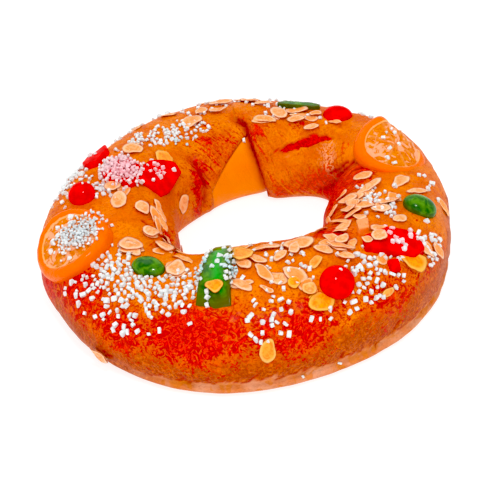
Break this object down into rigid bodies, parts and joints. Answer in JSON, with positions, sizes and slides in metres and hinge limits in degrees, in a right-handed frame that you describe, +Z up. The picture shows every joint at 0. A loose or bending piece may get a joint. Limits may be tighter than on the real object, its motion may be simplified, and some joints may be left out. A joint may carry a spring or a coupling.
{
  "type": "roscon de reyes",
  "caption": "Baked ring of sweet bread with a glazed crust, topped with candied orange slices, red and green candied fruit, almond flakes and pearl sugar.",
  "frame": {"origin": "centre of the box round the bread, on the flat base", "axes": "+Z up out of the base, +X to the right and +Y away from a viewer who faces the front"},
  "size_m": [0.267, 0.2756, 0.0671],
  "materials": {
    "crust": "egg-glazed baked crust, orange to deep red-brown",
    "candied_orange": "glossy candied orange slice",
    "candied_peel": "glossy translucent candied peel",
    "red_fruit": "glossy red candied fruit",
    "green_fruit": "glossy green candied fruit",
    "almond": "toasted almond flakes",
    "sugar": "white pearl sugar grains"
  },
  "bodies": {
    "root": {"orange_slice_left": "candied_orange", "orange_slice_right": "candied_orange", "cherry_red_left": "red_fruit", "cherry_red_front": "red_fruit", "cherry_red_back": "red_fruit", "cherry_green_left": "green_fruit", "cherry_green_right": "green_fruit", "red_wedge_left": "red_fruit", "red_slab_sugared": "red_fruit", "red_slab_bare": "red_fruit", "red_slab_right": "red_fruit", "red_chip_right": "red_fruit", "peel_cube_right": "candied_peel", "green_strip_front": "green_fruit", "green_strip_back": "green_fruit", "dough_ring": "crust"}
  },
  "joints": []
}
